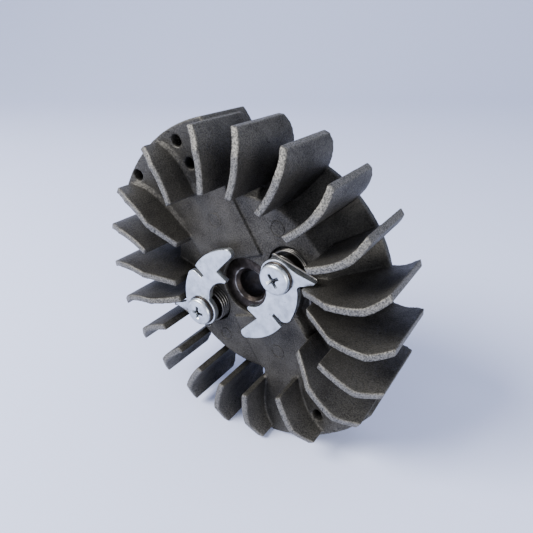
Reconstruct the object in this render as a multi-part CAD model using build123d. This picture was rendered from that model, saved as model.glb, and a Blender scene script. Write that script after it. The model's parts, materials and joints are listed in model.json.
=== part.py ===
from build123d import *
import math
import os

# Flywheel of a small two-stroke engine, starter side.
#
# The wheel is worked out lying in the plane of its blades: x and y in the plane,
# z along the axis towards the starter, and z = 0 at the rear face of the rim.
# stand_up() then turns every piece into the part's frame: origin in the middle of
# the bore's straight land, axis along Y, starter side towards -Y, +Z up, standing
# on a corner of a pole sector and the tip of the blade beside it.

# Driving sizes, in millimetres and degrees
TIP_RADIUS = 55.0            # outside of the fan blades
SECTOR_RADIUS = 56.4         # outside of the pole sectors
RIM_RADIUS = 44.4            # rear rim of the bowl
RIM_DEPTH = 2.5              # straight edge of the rim
HUB_RADIUS = 32.0            # flat front of the hub
HUB_FACE = 17.5              # level of the hub's flat front
PAD_RISE = 0.8               # the two ramps for the pawls stand this much higher
VALLEY_FLOOR = 13.0          # floor of the two cut-back areas beside the hub
REAR_RELIEF_DEPTH = 3.6      # ring-shaped relief in the rear face
REAR_RELIEF_RADII = (15.0, 37.0)
REAR_RIBS = 6
REAR_RIB_WIDTH = 4.0

# Fan blades
BLADE_THICKNESS = 2.4
BLADE_FRONT = 30.8           # level of the front edges
TIP_FRONT = 27.8             # level of the outer front corner
TIP_REAR = 4.2               # level of the outer rear corner
CHAMFER_RADIUS = 48.0        # the front edge slopes off from here to the tip
SHORT_BLADE_START = 35.2     # inner end of a short blade
LONG_BLADE_START = 26.8      # inner end of a long blade
LONG_BLADE_LEVEL = 25.2      # front edge level at the long blade's inner end
LONG_BLADE_KINK = 37.0       # its front edge ramps down inwards from here
BLADE_PITCH = 16.6           # between neighbouring blades
BLADES_PER_SIDE = 10         # the layout repeats after half a turn
LONE_BLADE = -70.25          # blade in the middle of a pole sector
LONE_BLADE_GAP = (180 - (BLADES_PER_SIDE - 2) * BLADE_PITCH) / 2
# Long blades, counted clockwise from the lone blade, and where each one's inner end
# stands off its own radius. The first is the stop for the pawl's tail.
LONG_BLADES = {6: 0.75, 7: 2.6, 9: 1.9}
SHORT_BLADE_END = 2.0
# A blade's centre line out to the tip: a gentle hook that leads at the tip
BLADE_LINE = [(58.0, 1.6), (55.0, 0.0), (49.4, -2.35), (43.9, -2.5), (38.5, -1.5)]
BLADE_LINE_END = 26.0

# Pole sectors: thick blocks on both sides of the two lone blades
SECTOR_FRONT = 21.8          # front level at the outside; it slopes down to the hub
SECTOR_INNER = 24.0
ROOT_BEAD = 1.0              # bead along the root of the blades on a sector
BEADED_BLADES = (0, 9)
CORE_HOLE_RADIUS = 2.0
CORE_HOLE_FLOOR = 3.5
SHALLOW_HOLE_FLOOR = 8.0
# Radius, direction and floor of each hole: the first two are in the magnet's sector
CORE_HOLES = [(53.8, 126.9, CORE_HOLE_FLOOR), (52.1, 101.0, CORE_HOLE_FLOOR),
              (44.3, 100.4, SHALLOW_HOLE_FLOOR), (49.3, -68.6, SHALLOW_HOLE_FLOOR)]
MAGNET_SIZE = (10.0, 7.0, 13.0)      # across, radial, axial
MAGNET_INNER = 46.2
SHOE_WIDTH = 8.0
SHOE_LEVELS = (3.5, 18.5)
WEIGHT_SIZE = (20.0, 7.0, 12.0)      # steel balance weight opposite the magnet
WEIGHT_INNER = 46.2

# Hub insert and crankshaft seat
INSERT_RADIUS = 10.3
INSERT_FRONT = 16.3
INSERT_REAR = -1.5
INSERT_FLANGE = (12.6, 4.0, 9.0)     # locking collar: radius, lower and upper level
LAND_RADIUS = 5.0                    # straight front land of the bore
LAND_REAR = 6.3
TAPER_REAR_RADIUS = 6.3
MOUTH_RADIUS = 6.3
MOUTH_DEPTH = 1.3
KEY_WIDTH = 3.0
KEY_DEPTH = 1.6
REAR_BOSS_RADIUS = 15.0

# Pawls, on pivots half a turn apart
PIVOT_RADIUS = 19.31
PIVOT_ANGLE = 19.5
SLEEVE_RADII = (2.55, 4.0)
SLEEVE_TOP = 24.3
PAWL_BOTTOM = 22.0
PAWL_THICKNESS = 2.2
PAWL_BORE = 4.05
PAWL_BOSS = 5.9
WASHER_RADII = (2.55, 5.4)
WASHER_THICKNESS = 0.5
HEAD_RADIUS = 5.06
HEAD_HEIGHT = 1.9
SCREW_RADIUS = 2.5
SCREW_BOTTOM = 6.0
CROSS_WIDTH = 1.1
CROSS_LENGTH = 4.8
CROSS_DEPTH = 1.2

# Torsion springs under the pawls, each in a round recess of the hub
RECESS_RADIUS = 7.4
RECESS_FLOOR = 15.5
SPRING_RADIUS = 6.2
SPRING_WIRE = 0.8
SPRING_PITCH = 1.25
SPRING_TURNS = 4.25
SPRING_BOTTOM = 16.0
SPRING_START = -10.0         # where the lower leg leaves the coil
LOWER_LEG = 12.0
LEG_GROOVE = (1.8, 8.0, 0.6)  # width, length and extra depth of the groove that lets it out
TAIL_LEG_TIP = (13.2, -1.5)  # end of the leg that pushes on the pawl's tail

STANDING_TURN = 16.2         # turns the wheel until the two points it stands on are level
ORIGIN_LEVEL = (LAND_REAR + INSERT_FRONT - MOUTH_DEPTH) / 2
ROUND = 360.0


def polar(radius, angle):
    """Point in the wheel's plane."""
    turn = math.radians(angle)
    return (radius * math.cos(turn), radius * math.sin(turn))


def column(radius, low, high, centre=(0, 0)):
    """Round bar along the axis between two levels."""
    disc = Pos(centre[0], centre[1], low) * Circle(radius)
    return extrude(disc, high - low, dir=(0, 0, 1))


def tube(inner, outer, low, high):
    return column(outer, low, high) - column(inner, low - 1, high + 1)


def prism(outline, low, high):
    """Flat-sided bar along the axis from a closed outline of points."""
    face = make_face(Polyline(*outline, close=True))
    return extrude(Pos(0, 0, low) * face, high - low, dir=(0, 0, 1))


def block(size, centre_x, start_y, low):
    """Box standing at start_y outwards from the axis."""
    across, radial, axial = size
    return Pos(centre_x, start_y + radial / 2, low + axial / 2) * Box(across, radial, axial)


def turned(outline):
    """Solid of revolution about the axis from (radius, level) points."""
    points = [(radius, 0, level) for radius, level in outline]
    return revolve(make_face(Polyline(*points, close=True)), Axis.Z)


def stand_up(piece):
    """From the wheel's plane into the part's frame."""
    return Plane.XZ * (Pos(0, 0, -ORIGIN_LEVEL) * Rot(0, 0, STANDING_TURN) * piece)


def blade_angles():
    """Tip angle of every blade with its count from the lone blade of its half."""
    half = [(LONE_BLADE, 0)]
    angle = LONE_BLADE - LONE_BLADE_GAP
    for count in range(1, BLADES_PER_SIDE):
        half.append((angle, count))
        angle -= BLADE_PITCH
    return half + [(angle + 180, count) for angle, count in half]


def blade_envelope(is_long):
    """What a blade's sheet is trimmed to, as seen from the side."""
    if is_long:
        inner = [(LONG_BLADE_START, VALLEY_FLOOR - 3), (LONG_BLADE_START, LONG_BLADE_LEVEL),
                 (LONG_BLADE_KINK, BLADE_FRONT)]
    else:
        inner = [(SHORT_BLADE_START, 4.0), (SHORT_BLADE_START, BLADE_FRONT)]
    outer = [(CHAMFER_RADIUS, BLADE_FRONT), (TIP_RADIUS, TIP_FRONT), (TIP_RADIUS, TIP_REAR),
             (TIP_RADIUS - 2.5, TIP_REAR - 2.0), (RIM_RADIUS - 1.0, 0.8)]
    return turned(inner + outer)


def blade_line(end_offset):
    """Points of a blade's centre line along x, from beyond the tip to its inner end."""
    return BLADE_LINE + [(BLADE_LINE_END, end_offset)]


def blade_sheet(end_offset, bead=0.0):
    """One curved blade along x, before it is trimmed, with a thicker clockwise side."""
    line = blade_line(end_offset)
    half = BLADE_THICKNESS / 2
    lead = Spline(*[(x, y + half) for x, y in line])
    trail = Spline(*[(x, y - half - bead) for x, y in line])
    face = make_face([lead, Line(lead @ 1, trail @ 1), trail, Line(trail @ 0, lead @ 0)])
    return extrude(face, BLADE_FRONT + 1, dir=(0, 0, 1))


def blade(count):
    """One blade along x by its count from the lone blade, trimmed to its outline."""
    is_long = count in LONG_BLADES
    return blade_sheet(LONG_BLADES.get(count, SHORT_BLADE_END)) & blade_envelope(is_long)


def root_bead(count):
    """Bead along the clockwise root of a blade that stands on a sector."""
    start = LONG_BLADE_START if count in LONG_BLADES else SHORT_BLADE_START
    end = TIP_RADIUS - 1
    outline = [(start, HUB_FACE - 3), (start, sector_level(start) + ROOT_BEAD / 2),
               (end, sector_level(end) + ROOT_BEAD / 2), (end, HUB_FACE - 3)]
    return blade_sheet(LONG_BLADES.get(count, SHORT_BLADE_END), ROOT_BEAD) & turned(outline)


def bowl():
    """Hub and conical bowl down to the rear rim."""
    side = ThreePointArc((HUB_RADIUS, 0, HUB_FACE), (37.8, 0, 9.0), (RIM_RADIUS, 0, RIM_DEPTH))
    rest = Polyline((RIM_RADIUS, 0, RIM_DEPTH), (RIM_RADIUS, 0, 0), (0, 0, 0),
                    (0, 0, HUB_FACE), (HUB_RADIUS, 0, HUB_FACE))
    return revolve(make_face([side, rest]), Axis.Z)


def sector_level(radius):
    """Front level of a pole sector, which slopes up from the hub to the outside."""
    share = (radius - HUB_RADIUS) / (SECTOR_RADIUS - HUB_RADIUS)
    return HUB_FACE + PAD_RISE + share * (SECTOR_FRONT - HUB_FACE - PAD_RISE)


def turned_points(points, angle):
    """Points of the wheel's plane turned about the axis."""
    return [polar(math.hypot(x, y), math.degrees(math.atan2(y, x)) + angle) for x, y in points]


def sector():
    """Thick pole sector round a lone blade, out to the centre lines of the blades beside it."""
    ring = turned([(SECTOR_INNER, 0), (SECTOR_INNER, HUB_FACE), (HUB_RADIUS - 1.5, HUB_FACE),
                   (HUB_RADIUS, sector_level(HUB_RADIUS)), (SECTOR_RADIUS, SECTOR_FRONT),
                   (SECTOR_RADIUS, 0)])
    far = 2 * TIP_RADIUS
    clockwise = turned_points(blade_line(SHORT_BLADE_END), LONE_BLADE - LONE_BLADE_GAP)
    other_way = turned_points(blade_line(LONG_BLADES[9]), LONE_BLADE + LONE_BLADE_GAP)
    outline = [(0, 0)] + clockwise[::-1] + [polar(far, LONE_BLADE)] + other_way
    return ring & prism(outline, 0, SECTOR_FRONT)


def both_sides(piece):
    """The piece and its copy half a turn round."""
    return [piece, Rot(0, 0, 180) * piece]


def valley():
    """Cut-back area beside the hub, below the long blades."""
    outline = [(16.7, -8.8), (19.6, -18.0), (24.4, -27.9), (31.5, -34.5), (38.0, -30.0),
               (44.0, -16.5), (46.0, 1.0), (27.5, 1.5), (20.5, -2.6)]
    return prism(outline, VALLEY_FLOOR, HUB_FACE + 5)


def ramp_pad():
    """Raised area on the hub front that lifts the pawl's nose."""
    outline = [(9.4, 11.4), (4.0, 30.6), (0.0, 35.0), (-24.4, 27.9), (-19.6, 18.0), (-15.8, 9.0)]
    pad = prism(outline, HUB_FACE - 1, HUB_FACE + PAD_RISE)
    return pad & column(HUB_RADIUS, 0, HUB_FACE + 5)


def spring_recess():
    """Round recess for a spring's coils with a groove for its lower leg."""
    width, length, extra = LEG_GROOVE
    height = HUB_FACE + 3 - RECESS_FLOOR
    groove = Pos(SPRING_RADIUS, -length / 2, RECESS_FLOOR + height / 2) * Box(
        width, length, height + 2 * extra)
    x, y = polar(PIVOT_RADIUS, PIVOT_ANGLE)
    hole = column(RECESS_RADIUS, RECESS_FLOOR, RECESS_FLOOR + height)
    return Pos(x, y, 0) * (hole + Rot(0, 0, SPRING_START) * groove)


def rear_relief():
    """Ring-shaped relief in the rear face, crossed by ribs."""
    ring = tube(REAR_RELIEF_RADII[0], REAR_RELIEF_RADII[1], -1, REAR_RELIEF_DEPTH)
    for count in range(REAR_RIBS):
        rib = Box(2 * TIP_RADIUS, REAR_RIB_WIDTH, 4 * REAR_RELIEF_DEPTH)
        ring -= Rot(0, 0, count * ROUND / REAR_RIBS / 2) * rib
    return ring


def pole_frame(piece):
    """From a frame with y outwards through the magnet to the wheel's plane."""
    return Rot(0, 0, LONE_BLADE + 180 - 90) * piece


def core_holes():
    """Round holes into the front of the pole sectors."""
    return [column(CORE_HOLE_RADIUS, floor, SECTOR_FRONT + 12, polar(radius, angle))
            for radius, angle, floor in CORE_HOLES]


def pole_shoe(side):
    """Laminated shoe that carries the magnet's flux to the outside of the wheel."""
    low, high = SHOE_LEVELS
    centre = side * (MAGNET_SIZE[0] + SHOE_WIDTH) / 2
    shoe = block((SHOE_WIDTH, SECTOR_RADIUS - MAGNET_INNER + 2, high - low), centre, MAGNET_INNER, low)
    shoe = pole_frame(shoe & column(SECTOR_RADIUS, 0, SECTOR_FRONT))
    for hole in core_holes()[:2]:
        shoe -= hole
    return shoe


def magnet():
    low = sum(SHOE_LEVELS) / 2 - MAGNET_SIZE[2] / 2
    return pole_frame(block(MAGNET_SIZE, 0, MAGNET_INNER, low))


def balance_weight():
    low = sum(SHOE_LEVELS) / 2 - WEIGHT_SIZE[2] / 2
    solid = pole_frame(Rot(0, 0, 180) * block(WEIGHT_SIZE, 0, WEIGHT_INNER, low))
    return solid - core_holes()[3]


def crank_bush():
    """Steel insert cast into the hub, with the crankshaft seat and key slot."""
    collar_radius, collar_low, collar_high = INSERT_FLANGE
    body = column(INSERT_RADIUS, INSERT_REAR, INSERT_FRONT) + column(
        collar_radius, collar_low, collar_high)
    seat = turned([(0, INSERT_REAR - 1), (TAPER_REAR_RADIUS, INSERT_REAR - 1),
                   (TAPER_REAR_RADIUS, INSERT_REAR), (LAND_RADIUS, LAND_REAR),
                   (LAND_RADIUS, INSERT_FRONT - MOUTH_DEPTH), (MOUTH_RADIUS, INSERT_FRONT),
                   (MOUTH_RADIUS, INSERT_FRONT + 1), (0, INSERT_FRONT + 1)])
    key = Pos(TAPER_REAR_RADIUS + KEY_DEPTH - 3, 0, INSERT_REAR) * Box(
        6, KEY_WIDTH, 2 * (LAND_REAR - INSERT_REAR))
    return body - seat - key


def insert_pocket():
    """Room in the casting for the insert, open at the front."""
    collar_radius, collar_low, collar_high = INSERT_FLANGE
    return column(INSERT_RADIUS, -2, HUB_FACE + 3) + column(collar_radius, collar_low, collar_high)


def flywheel_casting():
    """The die casting: bowl, pole sectors, blades and hub details in one solid."""
    body = bowl() + column(REAR_BOSS_RADIUS, -1.0, 1.0)
    for cut in both_sides(valley()):
        body -= cut
    body += both_sides(ramp_pad())
    body += both_sides(column(PAWL_BOSS + 1.0, 4, HUB_FACE, polar(PIVOT_RADIUS, PIVOT_ANGLE)))
    body += both_sides(sector())
    body += [Rot(0, 0, angle) * blade(count) for angle, count in blade_angles()]
    body += [Rot(0, 0, angle) * root_bead(count)
             for angle, count in blade_angles() if count in BEADED_BLADES]
    body -= both_sides(spring_recess())
    body -= rear_relief()
    body -= core_holes()
    body -= insert_pocket()
    body -= both_sides(column(SCREW_RADIUS, SCREW_BOTTOM, HUB_FACE + 3,
                              polar(PIVOT_RADIUS, PIVOT_ANGLE)))
    body -= [pole_shoe(-1), pole_shoe(1), magnet(), balance_weight()]
    return body


def pawl():
    """Stamped pawl about its pivot: hooked arm below, short tail to the right."""
    arm = make_face([
        Line((5.9, 0.0), (7.4, 1.2)),
        Polyline((7.4, 1.2), (12.9, -1.7), (12.3, -2.3), (7.9, -2.8)),
        ThreePointArc((7.9, -2.8), (6.6, -3.2), (6.1, -4.5)),
        ThreePointArc((6.1, -4.5), (4.5, -9.3), (1.6, -13.6)),
        ThreePointArc((1.6, -13.6), (-0.6, -15.2), (-2.5, -14.8)),
        Polyline((-2.5, -14.8), (-4.6, -12.3), (-5.8, -13.3), (-3.2, -16.9)),
        ThreePointArc((-3.2, -16.9), (-10.0, -20.9), (-18.2, -22.2)),
        ThreePointArc((-18.2, -22.2), (-20.4, -21.4), (-20.1, -19.4)),
        Polyline((-20.1, -19.4), (-12.0, -14.6), (-14.8, -11.6)),
        ThreePointArc((-14.8, -11.6), (-14.9, -10.9), (-14.2, -10.4)),
        ThreePointArc((-14.2, -10.4), (-8.0, -8.9), (-5.3, -4.6)),
        Polyline((-5.3, -4.6), (0.0, 0.0), (5.9, 0.0)),
    ])
    tail = make_face(Polyline((0, 0), (2.6, 5.2), (7.4, 1.2), (5.9, 0), close=True))
    flat = arm + tail + Circle(PAWL_BOSS)
    solid = extrude(Pos(0, 0, PAWL_BOTTOM) * flat, PAWL_THICKNESS, dir=(0, 0, 1))
    return solid - column(PAWL_BORE, 0, SLEEVE_TOP + 5)


def pivot_sleeve():
    return tube(SLEEVE_RADII[0], SLEEVE_RADII[1], RECESS_FLOOR, SLEEVE_TOP)


def pawl_washer():
    return tube(WASHER_RADII[0], WASHER_RADII[1], SLEEVE_TOP, SLEEVE_TOP + WASHER_THICKNESS)


def pivot_screw():
    """Pan-head screw with a cross recess."""
    seat = SLEEVE_TOP + WASHER_THICKNESS
    head = column(HEAD_RADIUS, seat, seat + HEAD_HEIGHT)
    head = fillet(head.edges().group_by(Axis.Z)[-1], 0.6)
    for turn in (0, 90):
        slot = Box(CROSS_LENGTH, CROSS_WIDTH, 2 * CROSS_DEPTH)
        head -= Pos(0, 0, seat + HEAD_HEIGHT) * (Rot(0, 0, turn + 30) * slot)
    return head + column(SCREW_RADIUS, SCREW_BOTTOM, seat)


def pawl_spring():
    """Torsion spring round the sleeve: coils with a leg to the hub and one to the tail."""
    coil = Pos(0, 0, SPRING_BOTTOM) * (Rot(0, 0, SPRING_START) * Helix(
        SPRING_PITCH, SPRING_PITCH * SPRING_TURNS, SPRING_RADIUS))
    lower = Line(coil @ 0 - (coil % 0) * LOWER_LEG, coil @ 0)
    path = Wire([lower, coil])
    spring = sweep(Plane(origin=path @ 0, z_dir=path % 0) * Circle(SPRING_WIRE / 2), path=path)
    end = coil @ 1
    tip = Vector(TAIL_LEG_TIP[0], TAIL_LEG_TIP[1], end.Z)
    leg = Plane(origin=end, z_dir=tip - end) * Circle(SPRING_WIRE / 2)
    return spring + extrude(leg, (tip - end).length)


def at_pivot(piece, side):
    """Move a piece from the pivot's own frame to pivot a (1) or b (0)."""
    x, y = polar(PIVOT_RADIUS, PIVOT_ANGLE)
    return Rot(0, 0, 180 * side) * (Pos(x, y, 0) * piece)


def build():
    """All sub-parts by node name, in the part's frame."""
    parts = {
        "flywheel_casting": flywheel_casting(),
        "crank_bush": crank_bush(),
        "ignition_magnet": magnet(),
        "pole_shoe_leading": pole_shoe(1),
        "pole_shoe_trailing": pole_shoe(-1),
        "balance_weight": balance_weight(),
    }
    for name, side in (("a", 1), ("b", 0)):
        parts["starter_pawl_" + name] = at_pivot(pawl(), side)
        parts["pawl_spring_" + name] = at_pivot(pawl_spring(), side)
        parts["pivot_sleeve_" + name] = at_pivot(pivot_sleeve(), side)
        parts["pawl_washer_" + name] = at_pivot(pawl_washer(), side)
        parts["pivot_screw_" + name] = at_pivot(pivot_screw(), side)
    return {name: stand_up(piece) for name, piece in parts.items()}


os.makedirs("parts", exist_ok=True)
for name, piece in build().items():
    export_step(piece, "parts/" + name + ".step")
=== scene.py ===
"""Looks of a small engine's flywheel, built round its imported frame.

The wheel stands on a corner of a pole sector and the blade tip beside it, with its axis along Y
and the starter side towards -Y.
Lengths in the pieces' and finishes' classes are in millimetres, as on a drawing, and become metres
where a mesh or a node is made. The studio's lengths and the geometry trees' are in metres.
"""

import sys
import json
import logging
import math
from dataclasses import dataclass, field
from enum import Enum
from typing import Callable, NamedTuple

import bmesh
import bpy
import numpy as np
from bpy.types import Material, Mesh, Node, NodeSocket, NodeTree, Object
from mathutils import Euler, Matrix, Vector
from mathutils.bvhtree import BVHTree


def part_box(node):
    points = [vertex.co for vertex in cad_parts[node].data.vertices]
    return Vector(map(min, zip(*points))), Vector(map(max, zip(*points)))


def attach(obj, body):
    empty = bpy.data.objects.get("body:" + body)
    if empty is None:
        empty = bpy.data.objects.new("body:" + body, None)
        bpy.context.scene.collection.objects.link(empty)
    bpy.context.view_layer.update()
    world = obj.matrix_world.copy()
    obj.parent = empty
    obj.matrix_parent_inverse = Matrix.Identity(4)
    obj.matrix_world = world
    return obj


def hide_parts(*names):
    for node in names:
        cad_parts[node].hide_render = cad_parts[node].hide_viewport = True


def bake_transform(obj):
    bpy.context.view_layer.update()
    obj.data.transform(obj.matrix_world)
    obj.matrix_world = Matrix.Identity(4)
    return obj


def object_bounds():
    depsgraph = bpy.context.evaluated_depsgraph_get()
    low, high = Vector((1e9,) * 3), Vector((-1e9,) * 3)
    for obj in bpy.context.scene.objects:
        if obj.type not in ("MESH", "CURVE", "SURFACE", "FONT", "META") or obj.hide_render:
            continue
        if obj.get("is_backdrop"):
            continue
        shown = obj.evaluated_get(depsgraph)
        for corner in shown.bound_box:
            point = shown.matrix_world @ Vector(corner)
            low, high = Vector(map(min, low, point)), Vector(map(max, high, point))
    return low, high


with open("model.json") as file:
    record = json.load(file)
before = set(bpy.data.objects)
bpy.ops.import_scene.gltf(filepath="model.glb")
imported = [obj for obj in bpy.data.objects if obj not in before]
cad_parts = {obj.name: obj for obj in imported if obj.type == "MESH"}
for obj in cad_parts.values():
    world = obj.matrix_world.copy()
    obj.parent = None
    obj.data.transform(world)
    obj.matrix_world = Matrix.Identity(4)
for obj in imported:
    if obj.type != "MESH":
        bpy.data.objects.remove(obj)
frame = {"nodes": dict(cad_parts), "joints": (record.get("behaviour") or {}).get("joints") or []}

log = logging.getLogger("flywheel")

Span = tuple[float, float]

MM = 0.001
MERGE = 0.0005 * MM                      # vertices closer than this are one
SMOOTH_DEGREES = 32                      # edges sharper than this are shaded sharp
TIP_RADIUS = 55.0                        # outside of the blades
INSERT_OVERHANG = 1.5                    # the steel insert stands out behind the rim's rear face
PIVOT_ANGLE = math.radians(19.5)         # direction of pawl b's pivot in the wheel's own plane
PIVOT_B = Vector(next(joint for joint in frame["joints"] if joint["child"] == "pawl_b")["pos_m"])
# From the wheel's own plane to the way it stands
STANDING_TURN = math.atan2(PIVOT_B.z, PIVOT_B.x) - PIVOT_ANGLE
REAR_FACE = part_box("crank_bush")[1].y / MM - INSERT_OVERHANG


class Side(Enum):
    """The two pawl pivots, half a turn apart."""

    A = "a"
    B = "b"

    @property
    def joint(self) -> dict:
        """The joint of this side's pawl."""
        return next(j for j in frame["joints"] if j["child"] == self.body)

    @property
    def body(self) -> str:
        """The body of this side's pawl."""
        return "pawl_" + self.value

    @property
    def turn(self) -> float:
        """How far the pivot's own axes are turned from the part's, in radians."""
        return STANDING_TURN + (math.pi if self is Side.A else 0.0)

    @property
    def centre(self) -> Vector:
        """A point on the pivot's axis, in metres."""
        return Vector(self.joint["pos_m"])


# ---------------------------------------------------------------- places

def y_of(level: float) -> float:
    """Y of a level above the rim's rear face.

    Args:
        level: Height towards the starter, in millimetres.

    Returns:
        The Y coordinate in metres.
    """
    return (REAR_FACE - level) * MM


def in_part(x: float, y: float, level: float, turn: float = STANDING_TURN,
            centre: Vector = Vector((0, 0, 0))) -> Vector:
    """A point of the wheel's plane in the part's frame.

    Args:
        x: Across the wheel's plane from the centre, in millimetres.
        y: Up the wheel's plane from the centre, in millimetres.
        level: Height above the rim's rear face, in millimetres.
        turn: How far the plane's axes are turned, in radians.
        centre: Where the plane's origin is, in metres.

    Returns:
        The point in metres.
    """
    cos, sin = math.cos(turn), math.sin(turn)
    return Vector((centre.x + (x * cos - y * sin) * MM, y_of(level),
                   centre.z + (x * sin + y * cos) * MM))


# ---------------------------------------------------------------- nodes

def add(tree: NodeTree, kind: str, inputs: dict | None = None, **settings) -> Node:
    """Adds one node with its settings and links.

    Args:
        tree: The tree that gets the node.
        kind: The node's type name.
        inputs: Socket identifiers or names, with a value, a node or a socket for each.
        **settings: Properties of the node itself.

    Returns:
        The new node.
    """
    node = tree.nodes.new(kind)
    for key, value in settings.items():
        setattr(node, key, value)
    for key, value in (inputs or {}).items():
        exact = [s for s in node.inputs if s.identifier == key]
        socket = (exact or [s for s in node.inputs if s.name == key and s.enabled])[0]
        if isinstance(value, Node):
            value = next(s for s in value.outputs if s.enabled)
        if isinstance(value, NodeSocket):
            tree.links.new(value, socket)
        else:
            socket.default_value = value
    return node


def add_each(tree: NodeTree, kind: str, keys: tuple[str, ...],
             *rows: tuple) -> list[Node]:
    """Adds one node for each row of inputs.

    Args:
        tree: The tree that gets the nodes.
        kind: Their type name.
        keys: Socket identifiers, in the order of a row.
        *rows: A value, a node or a socket for each key, or for the first few.

    Returns:
        The new nodes.
    """
    return [add(tree, kind, dict(zip(keys, row))) for row in rows]


def linear(hex_colour: str) -> tuple[float, float, float, float]:
    """Turns an sRGB hex colour to the linear values that a shader takes.

    Args:
        hex_colour: Six hex digits with a leading #.

    Returns:
        Red, green, blue and alpha.
    """
    parts = [int(hex_colour[i:i + 2], 16) / 255 for i in (1, 3, 5)]
    return (*[p / 12.92 if p <= 0.04045 else ((p + 0.055) / 1.055) ** 2.4 for p in parts], 1.0)


def per_metre(size: float) -> float:
    """Texture scale for a pattern whose features are this many millimetres across."""
    return 1 / (size * MM)


# ---------------------------------------------------------------- finishes

NOISE = ("Vector", "Scale", "Detail", "Roughness")
RANGE = ("Value", "From Min", "From Max", "To Min", "To Max")


class Paint(NamedTuple):
    """What a finish paints: a base colour, the layers over it by their shares, and its surface."""

    base: str
    layers: tuple[tuple[Node, object], ...]
    roughness: object
    height: object = 0.0


@dataclass(frozen=True)
class Finish:
    """A finish by its record slot. Each kind of finish paints its own nodes."""

    name: str
    slot: str
    metallic: float = 1.0
    relief: float = 0.4              # strength of the bump, which 0 leaves out
    relief_depth: float = 0.03

    def material(self) -> Material:
        """The finish's material, made once.

        Returns:
            The material.
        """
        known = bpy.data.materials.get(self.name)
        if known:
            return known
        made = bpy.data.materials.new(self.name)
        made.use_nodes = True
        tree = made.node_tree
        tree.nodes.clear()
        place = add(tree, "ShaderNodeTexCoord").outputs["Object"]
        paint = self.paint(tree, place)
        colour = linear(paint.base)
        for share, over in paint.layers:
            colour = add(tree, "ShaderNodeMix", {
                "Factor_Float": share, "A_Color": colour,
                "B_Color": linear(over) if isinstance(over, str) else over}, data_type="RGBA").outputs[2]
        sockets = {"Base Color": colour, "Metallic": self.metallic, "Roughness": paint.roughness}
        if self.relief:
            sockets["Normal"] = add(tree, "ShaderNodeBump", {
                "Height": paint.height, "Strength": self.relief, "Distance": self.relief_depth * MM})
        shader = add(tree, "ShaderNodeBsdfPrincipled", sockets)
        add(tree, "ShaderNodeOutputMaterial", {"Surface": shader})
        return made

    def paint(self, tree: NodeTree, place: NodeSocket) -> Paint:
        """Adds the finish's nodes.

        Args:
            tree: The material's node tree.
            place: Object coordinates, in metres.

        Returns:
            The colours, roughness and height, as values, nodes or sockets.
        """
        raise NotImplementedError


@dataclass(frozen=True)
class CastAluminium(Finish):
    """Die-cast aluminium, shot-blasted and a little soiled.

    The die skin is a matt warm grey with pinholes. Trimming and handling bare a lighter,
    grainy metal on the blades' edges. Painted shade, with some dust and oil, darkens the corners
    between them, and painted shade alone darkens the creases and the foot of each step.
    """

    name: str = "cast_aluminium_blasted"
    slot: str = "cast_aluminium"
    metallic: float = 0.9
    relief: float = 1.0
    relief_depth: float = 0.2
    skin_dark: str = "#2e2c2a"
    skin_light: str = "#5c5953"
    bared: str = "#827f78"
    bared_dull: str = "#464543"
    # painted shade in corners and creases, with some soil in the corners
    shade_and_soil: str = "#181716"
    pinhole: str = "#1a1918"
    cloud: float = 9.0       # blotches of the die skin
    grit: float = 0.45       # shot-blasted grain, drawn coarser than real to show
    pinhole_size: float = 1.3

    def paint(self, tree: NodeTree, place: NodeSocket) -> Paint:
        """Adds the skin, the bared edges, the painted shade with its soil and the pinholes."""
        cloud, grit, holes = add_each(
            tree, "ShaderNodeTexNoise", NOISE, (place, per_metre(self.cloud), 4.0, 0.6),
            (place, per_metre(self.grit), 2.0, 0.65), (place, per_metre(self.pinhole_size), 1.0, 0.4))
        # painted shade with some soot in the corners, and painted shade in the creases and at each step
        bared, shade_and_dirt, crease = (add(tree, "ShaderNodeAttribute", attribute_name=name).outputs["Fac"]
                                 for name in ("bared", "shade_and_dirt", "crease"))
        cloud_tone, grit_tone, grainy, hole = add_each(
            tree, "ShaderNodeMapRange", RANGE, (cloud, 0.3, 0.7, 0.1, 0.75),
            (grit, 0.32, 0.68, -0.30, 0.38), (grit, 0.36, 0.60), (holes, 0.72, 0.78, 0.0, 0.7))
        tone = add(tree, "ShaderNodeMath", {"Value": cloud_tone, "Value_001": grit_tone},
                   operation="ADD", use_clamp=True)
        metal = add(tree, "ShaderNodeMix", {
            "Factor_Float": grainy, "A_Color": linear(self.bared_dull),
            "B_Color": linear(self.bared)}, data_type="RGBA").outputs[2]
        rough = add(tree, "ShaderNodeMapRange", {"Value": tone, "To Min": 0.66, "To Max": 0.52})
        sunk = add(tree, "ShaderNodeMath", {"Value": hole, "Value_001": -0.7, "Value_002": grit},
                   operation="MULTIPLY_ADD")
        return Paint(self.skin_dark, ((tone, self.skin_light), (shade_and_dirt, self.shade_and_soil), (crease, self.shade_and_soil),
                                      (bared, metal), (hole, self.pinhole)), rough, sunk)


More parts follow.
